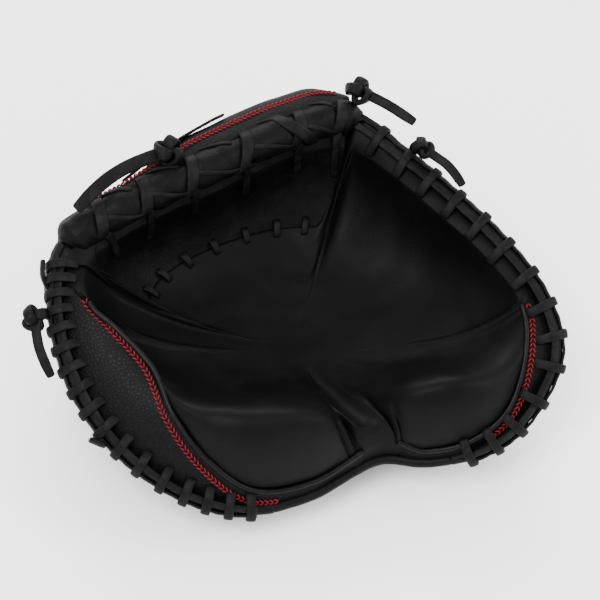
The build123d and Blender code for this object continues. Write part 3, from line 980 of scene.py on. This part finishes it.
class MITT_OT_web(Operator):
    """Closed web: front and back panel, padded roll, its wraps and its lacing"""

    bl_idname = "mitt.web"
    bl_label = "Web"

    def execute(self, context):
        sizes = context.scene.mitt_sizes
        self.panels(sizes)
        self.roll(sizes)
        self.lacing(sizes)
        return {"FINISHED"}

    def panels(self, sizes):
        def front(u, v):
            t = WEB[0] + (WEB[1] - WEB[0]) * v
            e = 0.56 + 0.94 * u
            depth = 3.2 * MM * (1 - ease(u / 0.16))
            return hide_surface(e, t) + inward(hide_surface, min(e, 0.97), t) * depth

        bm = sheet_facing(lambda point: Vector((-0.2, -1.0, 0.4)), front, 18, 64)
        crumple(bm, 14 * MM, 0.8 * MM, 2.0)
        hide = sizes.hide
        sheet_piece("web_front_hide", bm, "web_leather", "web_leather", hide, "web_front_panel")

        def rear(u, v):
            t = WEB[0] + (WEB[1] - WEB[0]) * v
            point = web_back_surface(u, t)
            ridge = abs(math.sin(3 * math.pi * v)) ** 0.6
            ridge *= ease((u - 0.32) / 0.12) * ease((0.78 - u) / 0.2)
            clear = ease((point.z - FLAT_BELOW) / FADE_OVER)
            if ridge * clear > 0:
                point -= inward(web_back_surface, u, t) * (3.4 * MM * ridge * clear)
            return point

        bm = sheet_facing(lambda point: Vector((0.0, 1.0, -0.6)), rear, 40, 64)
        for vert in bm.verts:
            lift = ease(vert.co.z / (30 * MM))
            vert.co += vert.normal * (1.4 * MM * lift * noise.noise(vert.co / 0.022))
        sheet_piece("web_back_hide", bm, "back_leather", "back_leather", hide, "web_back_panel")

        corners = ((1.55, 8.42), (1.86, 7.30), (0.78, 7.98))

        def tab(u, v):
            e = corners[0][0] + (corners[1][0] - corners[0][0]) * v
            t = corners[0][1] + (corners[1][1] - corners[0][1]) * v
            e += (corners[2][0] - e) * u
            t += (corners[2][1] - t) * u
            arch = 2.0 * MM * math.sin(math.pi * v) * (1 - u)
            return hide_surface(e, t) - inward(hide_surface, min(e, 1.9), t) * (3.0 * MM + arch)

        bm = sheet_facing(lambda point: Vector((0.5, -0.6, 1.0)), tab, 10, 12)
        thin = sizes.hide * 0.85
        sheet_piece("web_end_tab", bm, "palm_leather", "web_leather", thin, half="thumb_half")

    def roll(self, sizes):
        count = 130
        stations = [ROLL[0] + (ROLL[1] - ROLL[0]) * k / count for k in range(count + 1)]

        def skin(u, v):
            t = stations[round(v * count)]
            return round_roll(t, 2 * math.pi * u, sizes.roll_radius * roll_swell(t))

        bm = bmesh.new()
        surface_sheet(bm, skin, 20, count)
        bmesh.ops.holes_fill(bm, edges=[edge for edge in bm.edges if edge.is_boundary], sides=0)
        bmesh.ops.recalc_face_normals(bm, faces=bm.faces[:])
        crumple(bm, 7 * MM, 1.1 * MM, 5.0)
        full_piece("web_roll_hide", bm, "web_leather", "web_roll")

    def lacing(self, sizes):
        reach = sizes.roll_radius + 1.5 * MM
        bm = bmesh.new()
        turns = [(wrap, 0.09) for wrap in ROLL_WRAPS] + [(ROLL_WRAPS[4], -0.20)]
        for i, (wrap, lean) in enumerate(turns):
            points = []
            ups = []
            for k in range(28):
                a = 2 * math.pi * k / 28
                t = wrap + lean * math.sin(a - 0.6)
                over = 1.2 if i == len(ROLL_WRAPS) else 0.0    # the last turn crosses another
                points.append(round_roll(t, a, reach + (0.4 * math.sin(3 * a + i) + over) * MM))
                ups.append(points[-1] - lacing_edge(t))
            width, thick = sizes.lace_width * 1.35, sizes.lace_thick * 0.9
            lay_lace(bm, points, ups, width, thick, closed=True)
        full_piece("web_roll_bands", bm, "lace", "web_roll_wraps")

        bm = bmesh.new()
        for first, second in zip(ROLL_WRAPS, ROLL_WRAPS[1:]):
            for high, low in ((48, -12), (150, 95)):
                points = []
                ups = []
                for k in range(13):
                    f = k / 12
                    t = first + 0.08 + (second - first - 0.16) * f
                    lift = sizes.roll_radius * roll_swell(t) + 0.5 * MM * math.sin(math.pi * f)
                    points.append(round_roll(t, math.radians(high + (low - high) * f), lift))
                    ups.append(points[-1] - lacing_edge(t))
                lay_lace(bm, points, ups, 3.0 * MM, sizes.lace_thick * 0.7)
        full_piece("web_cross_laces", bm, "lace")

        bm = bmesh.new()
        for i, wrap in enumerate(ROLL_WRAPS):
            foot = 0.88 - 0.04 * (i % 2)
            into = inward(palm_surface, foot, wrap) * MM
            knots = [
                round_roll(wrap, math.radians(-15), reach - 0.6 * MM),
                hide_surface(1.22, wrap) - inward(hide_surface, 0.97, wrap) * 2.2 * MM,
                palm_surface(foot + 0.03, wrap + 0.06) - into * 1.2,
                palm_surface(foot, wrap + 0.08) + into * 2.5,
            ]
            up = -inward(palm_surface, 0.9, wrap)
            lay_tie(bm, knots, 5, up, sizes.lace_width * 0.85, sizes.lace_thick * 0.8)
        for k in range(7):
            t = WEB[0] + 0.5 + (WEB[1] - WEB[0] - 1.0) * k / 6
            knots = []
            for e, lift in ((0.58, -2.0), (0.59, 1.0), (0.62, 1.9), (0.65, 1.0), (0.66, -2.0)):
                place = palm_surface(e, t + 0.05 * (e - 0.6))
                knots.append(place - inward(palm_surface, e, t) * lift * MM)
            up = -inward(palm_surface, 0.62, t)
            lay_tie(bm, knots, 4, up, sizes.lace_width * 0.75, sizes.lace_thick * 0.6)
        full_piece("web_face_laces", bm, "lace", "web_base_lacing")

        bm = bmesh.new()
        for seam in (8.12, 11.92):
            for k in range(7):
                v = 0.17 + 0.045 * k
                knots = []
                for step, lift in zip((-0.17, -0.15, 0.0, 0.15, 0.17), (-2.5, 1.4, 2.6, 1.4, -2.5)):
                    share = v + 0.10 * step * (-1) ** k
                    out = inward(back_surface, share, seam + step)
                    knots.append(back_surface(share, seam + step) - out * lift * MM)
                up = -inward(back_surface, v, seam)
                lay_tie(bm, knots, 4, up, sizes.lace_width * 0.85, sizes.lace_thick * 0.75)
        full_piece("web_side_ties", bm, "lace")

        bm = bmesh.new()
        path = [
            web_back_surface(0.135 + 0.012 * math.sin(k / 3), 9.0 + 1.5 * k / 24) for k in range(25)
        ]
        points = [point + Vector((-0.1, 0.9, 0.5)) * 1.6 * MM for point in path]
        ups = [Vector((0.0, 1.0, 0.6))] * len(points)
        lay_lace(bm, points, ups, sizes.lace_width * 0.8, sizes.lace_thick * 0.8)
        full_piece("web_back_lace", bm, "lace")


# ---- side gussets and piping ----
class MITT_OT_sides(Operator):
    """Pebbled side gussets and the piping along the palm edge"""

    bl_idname = "mitt.sides"
    bl_label = "Side gussets and piping"

    def execute(self, context):
        sizes = context.scene.mitt_sizes
        for half, gusset, piping in (
            ("thumb", THUMB_GUSSET, THUMB_PIPING), ("finger", FINGER_GUSSET, FINGER_PIPING),
        ):
            def side(u, v):
                t = gusset[0] + (gusset[1] - gusset[0]) * v
                tuck = 1 - ease(min(v, 1 - v) / 0.05)
                return sunk(gusset_surface, (0.2 + 1.8 * tuck) * MM)(0.02 + 0.98 * u, t)

            steps = round(16 * (gusset[1] - gusset[0]))
            bm = sheet_facing(from_middle, side, 14, steps)
            crumple(bm, 22 * MM, 1.0 * MM, 4.0)
            sheet_piece(
                half + "_side_hide", bm, "gusset_leather", "gusset_leather", sizes.hide,
                half + "_gusset",
            )

            steps = round(14 * (piping[1] - piping[0]))
            points = along_curve(palm_edge, *piping, steps)
            points = [point + Vector((0, 0, 0.6 * MM)) for point in points]
            bm = bmesh.new()
            ups = [UP] * len(points)
            width = 2 * sizes.piping_radius
            lay_lace(bm, points, ups, width, width, 10, power=1.0, taper=lambda share: 0.96)
            crumple(bm, 4 * MM, 0.25 * MM)
            full_piece(half + "_piping_cord", bm, "piping", half + "_piping")
        return {"FINISHED"}


# ---- rims ----
def whip_loop(t, reach):
    """Path of one turn of the whip lace, through the side, over the rim and through the back."""
    middle, along, wall, back = rim_axes(t)
    both = wall.dot(back)
    off_wall = (wall * both - back).normalized()
    off_back = (back * both - wall).normalized()
    outward = -(wall + back).normalized()
    # places in millimetres from the middle of the rim, and how far each is moved along it
    spots = (
        (wall * reach - off_wall * 1.5, 1.0),
        (wall * (reach - 1.2) + off_wall * 2.4, 1.6),
        (wall * 4.6 + off_wall * 6.3, 1.0),
        (outward * 6.9, 0.0),
        (back * 4.6 + off_back * 6.0, -1.0),
        (back * (reach - 2.0) + off_back * 2.2, -1.6),
        (back * (reach - 1.0) - off_back * 1.5, -1.0),
        ((wall + back) * 2.5, 0.0),
    )
    knots = [middle + (spot + along * skew) * MM for spot, skew in spots]
    core = middle + (wall + back) * 2.0 * MM
    points = smooth_path(knots, 4, closed=True)
    ups = [point - core for point in points]
    return points, ups


class MITT_OT_rims(Operator):
    """Rolled binding, whip lacing and the laces along the rim"""

    bl_idname = "mitt.rims"
    bl_label = "Rim binding and lacing"

    def execute(self, context):
        sizes = context.scene.mitt_sizes
        heel = (FINGER_RIM[1] - 0.05, COUNT + THUMB_RIM[0] + 0.05)
        for name, (start, end), radius, half in (
            ("thumb_binding", THUMB_RIM, sizes.binding_radius, "thumb_half"),
            ("finger_binding", FINGER_RIM, sizes.binding_radius, "finger_half"),
            ("heel_binding", heel, sizes.binding_radius * 0.92, None),
        ):
            steps = round(14 * (end - start))
            points = along_curve(lacing_edge, start, end, steps)
            bm = bmesh.new()
            lay_lace(bm, points, [UP] * len(points), 2 * radius, 2 * radius, 12, power=0.9)
            crumple(bm, 6 * MM, 0.35 * MM)
            full_piece(name + "_roll", bm, "binding", name, half=half)

        for half, whips, (start, end), reach in (
            ("thumb", THUMB_WHIPS, (1.9, 7.85), 11.0), ("finger", FINGER_WHIPS, (12.1, 19.3), 13.0),
        ):
            bm = bmesh.new()
            for t in whips:
                points, ups = whip_loop(t, reach)
                lay_lace(bm, points, ups, sizes.lace_width, sizes.lace_thick * 0.85, closed=True)
            full_piece(half + "_whip_lace", bm, "lace", half + "_rim_lacing", half=half + "_half")

            bm = bmesh.new()
            for place in range(3):
                points = []
                ups = []
                steps = round(14 * (end - start))
                for k in range(steps + 1):
                    t = start + (end - start) * k / steps
                    middle, _, wall, back = rim_axes(t)
                    outward = -(wall + back).normalized()
                    off_wall = (wall * wall.dot(back) - back).normalized()
                    off_back = (back * wall.dot(back) - wall).normalized()
                    wave = 0.3 * math.sin(1.7 * k + 2.1 * place)
                    # on top of the rim, on the side and on the back, in millimetres from its middle
                    spot, lean = (
                        (outward * (4.4 + wave), outward),
                        (off_wall * (4.4 + wave) + wall * 3.4, off_wall),
                        (off_back * (3.7 + wave) + back * 2.8, off_back),
                    )[place]
                    points.append(middle + spot * MM)
                    ups.append(lean)
                lay_lace(bm, points, ups, sizes.lace_width * 0.88, sizes.lace_thick * 0.85)
            edge = half + "_edge_lace"
            full_piece(edge + "_pair", bm, "lace", edge + "s", half=half + "_half")
        return {"FINISHED"}


# ---- back ----
def stall_height(v, t, start, end, ridges):
    """How far the finger stalls of the back stand out between their seams."""
    share = (t - start) / (end - start)
    wave = abs(math.sin(math.pi * ridges * share)) ** 0.7
    return wave * ease((v - 0.05) / 0.12) * ease((0.52 - v) / 0.16)


class MITT_OT_back(Operator):
    """Back panels with their stalls, the welt round the opening, and the back linings"""

    bl_idname = "mitt.back"
    bl_label = "Back"

    def execute(self, context):
        sizes = context.scene.mitt_sizes
        for half, (start, end), ridges in (
            ("thumb", (1.55, 8.1), 2), ("finger", (11.9, 19.65), sizes.finger_ridges),
        ):
            def panel(u, v):
                t = start + (end - start) * v
                share = 0.004 + (back_end(t) - 0.004) * u**1.5
                tuck = 1 - ease(min(v, 1 - v) / 0.04)
                if half == "thumb":
                    tuck *= ease(3 * (end - t))
                lift = 2.4 * stall_height(share, t, start + 0.6, end - 0.6, ridges)
                point = back_surface(share, t)
                if point.z > FLAT_BELOW:
                    lift *= ease((point.z - FLAT_BELOW) / FADE_OVER)
                    point -= inward(back_surface, share, t) * (lift - tuck) * MM
                return point

            bm = sheet_facing(outside, panel, 30, round(14 * (end - start)))
            sheet_piece(
                half + "_back_hide", bm, "back_leather", "back_leather", sizes.hide,
                half + "_back_panel",
            )

            def lining(u, v):
                t = start + 0.1 + (end - start - 0.2) * v
                share = 0.05 + (back_end(t) - 0.02 - 0.05) * u**1.3
                return sunk(back_surface, sizes.hide + 1.6 * MM)(share, t)

            bm = sheet_facing(outside, lining, 20, round(10 * (end - start)))
            sheet_piece(
                half + "_back_lining_hide", bm, "lining", "lining", sizes.lining,
                half + "_back_lining",
            )

        points = along_curve(lambda t: back_surface(back_end(t), t), 1.62, 19.58, 240)
        before, after = [points[0], *points], [*points[1:], points[-1]]
        points = [
            (a + b * 2 + c) / 4 + UP * 1.7 * MM for a, b, c in zip(before, points, after)
        ]
        bm = bmesh.new()
        lay_lace(bm, points, [UP] * len(points), 4.6 * MM, 3.4 * MM, 10, power=0.8)
        across_fold(new_piece("opening_welt", bm, "binding"))
        return {"FINISHED"}


# ---- inside: lining, loops and wrist strap ----
class MITT_OT_hand(Operator):
    """Palm lining, finger loops and the laced wrist strap with its fleece"""

    bl_idname = "mitt.hand"
    bl_label = "Lining, loops and strap"

    def execute(self, context):
        sizes = context.scene.mitt_sizes

        def lining(u, v):
            return ceiling_surface(0.84 * u, v * COUNT)

        bm = sheet_facing(downward, lining, 22, COUNT * 5)
        crumple(bm, 20 * MM, 0.8 * MM, 9.0)
        sheet_piece("palm_lining_hide", bm, "lining", "lining", sizes.lining, "palm_lining")

        for half, name, centre, width, height in (
            ("thumb_half", "thumb_loop", at(-76, 2, 21), 24, 18),
            ("finger_half", "pinky_loop", at(78, -34, 20), 22, 16),
        ):
            points = []
            ups = []
            for k in range(32):
                a = 2 * math.pi * k / 32
                aside = squared(math.cos(a), 0.6) * (width / 2 - 1.2) * MM
                lift = squared(math.sin(a), 0.6) * (height / 2 - 1.2) * MM
                points.append(centre + Vector((aside, 0, lift)))
                ups.append(Vector((aside, 0, lift)))
            bm = bmesh.new()
            lay_lace(bm, points, ups, 2 * sizes.lace_width, 2.2 * MM, 10, closed=True)
            full_piece(name + "_hide", bm, "lining", name, half=half)

        left, right, middle = at(-40, -49).x, at(50, -49).x, at(5, -49).y

        def strip(low, thick, inset, bow):
            def place(u, v):
                width = 23 * MM - 2 * inset
                x = left + inset + (right - left - 2 * inset) * v
                y = middle + width * (u - 0.5) * (1 - 0.10 * math.sin(math.pi * v))
                rise = bow * math.sin(math.pi * v) ** 2 * (1 - (2 * u - 1) ** 2)
                return Vector((x, y, low + thick + rise))

            return place

        for name, low, thick, inset, finish, slot in (
            ("wrist_strap", 0.4 * MM, 2.6 * MM, 0.0, "back_leather", "back_leather"),
            ("wrist_strap_lining", 3.2 * MM, 2.0 * MM, 1.5 * MM, "fleece", "lining"),
        ):
            bm = sheet_facing(upward, strip(low, thick, inset, 0.6 * MM), 10, 40, (0.023, 0.09))
            sheet_piece(name + "_strip", bm, finish, slot, thick, name)

        bm = bmesh.new()
        for x, sign in ((left, -1), (right, 1)):
            for step in (-8, 0, 8):
                knots = []
                for out, z in ((-7, 3.0), (-6, 6.8), (0, 9.0), (5, 8.6), (7, 5.0)):
                    aside = (step + 0.15 * out) * MM
                    knots.append(Vector((x + sign * out * MM, middle + aside, z * MM)))
                lay_tie(bm, knots, 4, UP, 4.6 * MM, 2.0 * MM)
        full_piece("strap_ties", bm, "lace", "strap_laces")
        return {"FINISHED"}


# ---- padding ----
def rounded(share):
    """Depth of a pad along its section: 1 in the middle, less towards its round edges."""
    return math.sin(math.pi * min(max(share, 0.02), 0.98)) ** 0.35


class MITT_OT_padding(Operator):
    """Felt pads between the palm leather and the lining"""

    bl_idname = "mitt.padding"
    bl_label = "Felt padding"

    def execute(self, context):
        hide = context.scene.mitt_sizes.hide
        for half, (rim_start, rim_end), (heel_start, heel_end), last in (
            ("thumb", (0.15, 9.9), (0.9, 4.4), 0.76), ("finger", (10.1, 20.85), (17.1, 20.3), 0.66),
        ):
            def rim_section(share, t):
                s = 0.10 + (last * min(1.0, over_stops(LEATHER_END, t)) - 0.10) * share
                full = (9.0 - 6.5 * s * s) * MM * rounded(share)
                top = sunk(palm_surface, hide + 1.3 * MM)(s, t)
                return top, top + inward(palm_surface, s, t) * full

            def heel_section(share, t):
                s = 0.53 + 0.15 * share
                top = sunk(palm_surface, hide + 12 * MM)(s, t)
                floor = ceiling_surface(s, t).z + 2.4 * MM
                middle = 0.5 * (top.z + floor)
                deep = max(0.5 * (top.z - floor), 0.6 * MM) * rounded(share)
                return [Vector((top.x, top.y, middle + way * deep)) for way in (1, -1)]

            for name, section, start, end in (
                ("_pad", rim_section, rim_start, rim_end),
                ("_heel_pad", heel_section, heel_start, heel_end),
            ):
                columns = 12
                rows = round(7 * (end - start))

                def ring(u, v):
                    t = start + (end - start) * v
                    k = round(u * 2 * columns) % (2 * columns)
                    share = k / columns if k <= columns else (2 * columns - k) / columns
                    top, bottom = section(share, t)
                    if k in (0, columns):
                        return (top + bottom) / 2
                    return top if k < columns else bottom

                bm = bmesh.new()
                surface_sheet(bm, ring, 2 * columns, rows)
                open_ends = [edge for edge in bm.edges if edge.is_boundary]
                bmesh.ops.holes_fill(bm, edges=open_ends, sides=0)
                pad = full_piece(half + name + "_felt", bm, "felt", half + name)
        return {"FINISHED"}


# ---- stitching ----
def add_stitch(bm, middle, along, normal, long, radius):
    """One stitch: a short bowed length of thread whose ends dip into the leather."""
    points = []
    for k in range(5):
        f = k / 4 - 0.5
        points.append(middle + along * (long * f) + normal * (radius * (0.9 - 6.0 * f * f)))
    lay_lace(bm, points, [normal] * 5, 2 * radius, 2 * radius, 6, power=1.0)


def double_row(bm, surface, line, outward, pitch, gap=2.0 * MM, radius=0.46 * MM):
    """Two rows of slanted stitches, mirrored in pairs, along a line of (share, station)."""
    points = [surface(a, t) for a, t in line]
    travelled = 0.0
    due = 0.0
    for i in range(len(points) - 1):
        step = (points[i + 1] - points[i]).length
        while due < travelled + step:
            f = (due - travelled) / step
            a = line[i][0] + (line[i + 1][0] - line[i][0]) * f
            t = line[i][1] + (line[i + 1][1] - line[i][1]) * f
            along = (points[i + 1] - points[i]).normalized()
            normal = inward(surface, a, t) * outward
            side = along.cross(normal).normalized()
            middle = surface(a, t) + normal * 0.5 * MM
            for sign in (-1, 1):
                slant = (along + side * (0.55 * sign)).normalized()
                place = middle + side * (sign * gap / 2)
                add_stitch(bm, place, slant, normal, pitch * 0.95, radius)
            due += pitch
        travelled += step


class MITT_OT_stitching(Operator):
    """Red double stitching of the sides, the web and the back"""

    bl_idname = "mitt.stitching"
    bl_label = "Stitching"

    def execute(self, context):
        pitch = context.scene.mitt_sizes.stitch_pitch
        for half, (start, end), (low, high) in (
            ("thumb", (1.6, 6.9), (7.5, 4.4)), ("finger", (16.1, 18.7), (3.8, 5.0)),
        ):
            line = []
            for k in range(121):
                t = start + (end - start) * k / 120
                inset = (low + (high - low) * ease((t - start) / 3.0)) * MM
                line.append((min(margin(gusset_surface, t, 0.0, inset), 0.66), t))
            bm = bmesh.new()
            double_row(bm, gusset_surface, line, -1, pitch)
            across_fold(new_piece(half + "_side_stitching", bm, "thread"))

        bm = bmesh.new()
        for share in (0.075, 0.55):
            line = [(share, 8.5 + 3.3 * k / 80) for k in range(81)]
            double_row(bm, web_back_surface, line, -1, pitch)
        across_fold(new_piece("web_back_stitching", bm, "thread"))

        bm = bmesh.new()
        for start, end in ((1.9, 7.0), (12.2, 19.3)):
            line = []
            for k in range(121):
                t = start + (end - start) * k / 120
                line.append((margin(back_surface, t, 0.0, 17 * MM), t))
            double_row(bm, back_surface, line, -1, pitch)
        across_fold(new_piece("back_stitching", bm, "thread"))
        return {"FINISHED"}


class MITT_PT_panel(Panel):
    """Buttons of the mitt, in the order in which its pieces are made"""

    bl_idname = "MITT_PT_panel"
    bl_label = "Catcher's mitt"
    bl_space_type = "VIEW_3D"
    bl_region_type = "UI"
    bl_category = "Mitt"

    def draw(self, context):
        layout = self.layout
        for group in (context.scene.mitt_sizes, context.scene.mitt_colours):
            box = layout.box()
            for name in group.__annotations__:
                box.prop(group, name)
        for operator in STEPS:
            layout.operator(operator.bl_idname)


STEPS = (
    MITT_OT_stage, MITT_OT_lace_tails, MITT_OT_palm, MITT_OT_web, MITT_OT_sides, MITT_OT_rims,
    MITT_OT_back, MITT_OT_hand, MITT_OT_padding, MITT_OT_stitching,
)
CLASSES = (MittSizes, MittColours, *STEPS, MITT_PT_panel)


def register():
    for made in CLASSES:
        bpy.utils.register_class(made)
    bpy.types.Scene.mitt_sizes = PointerProperty(type=MittSizes)
    bpy.types.Scene.mitt_colours = PointerProperty(type=MittColours)


def unregister():
    del bpy.types.Scene.mitt_colours
    del bpy.types.Scene.mitt_sizes
    for made in reversed(CLASSES):
        bpy.utils.unregister_class(made)


def main():
    register()
    for operator in STEPS:
        group, name = operator.bl_idname.split(".")
        getattr(getattr(bpy.ops, group), name)()


if __name__ == "__main__":
    main()
